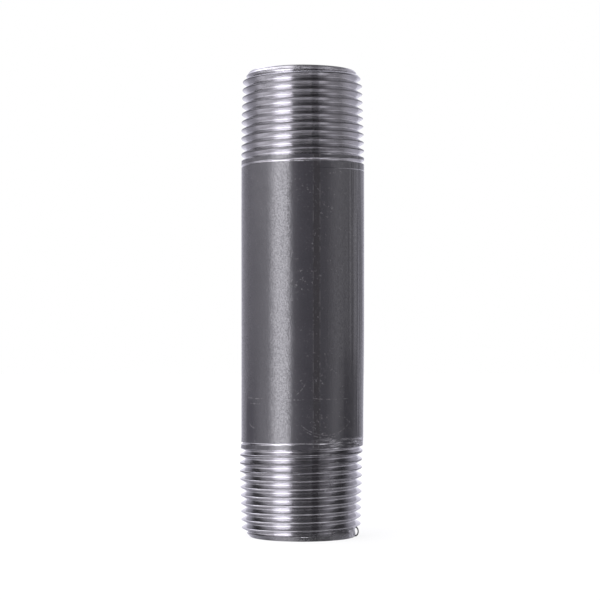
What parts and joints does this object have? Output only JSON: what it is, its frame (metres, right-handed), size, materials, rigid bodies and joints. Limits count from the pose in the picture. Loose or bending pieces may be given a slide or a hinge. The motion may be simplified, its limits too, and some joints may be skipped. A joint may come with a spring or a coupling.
{
  "type": "pipe nipple",
  "caption": "Short length of black steel pipe with a tapered pipe thread, chamfered tip and run-out on each end.",
  "frame": {"origin": "centre of the lower end face, on the pipe's axis", "axes": "+Z along the bore from the lower end to the upper end; -Y is the side that the picture shows"},
  "size_m": [0.0334, 0.0334, 0.127],
  "materials": {
    "mill_scale_steel": "dark mill scale",
    "weld_steel": "trimmed weld",
    "cut_steel": "bright, freshly cut, lightly oiled",
    "black_lacquer": "glossy black pipe lacquer"
  },
  "bodies": {
    "root": {"pipe_wall": "mill_scale_steel", "weld_seam": "weld_steel", "lower_thread": "cut_steel", "upper_thread": "cut_steel", "lacquer_coat": "black_lacquer"}
  },
  "joints": []
}
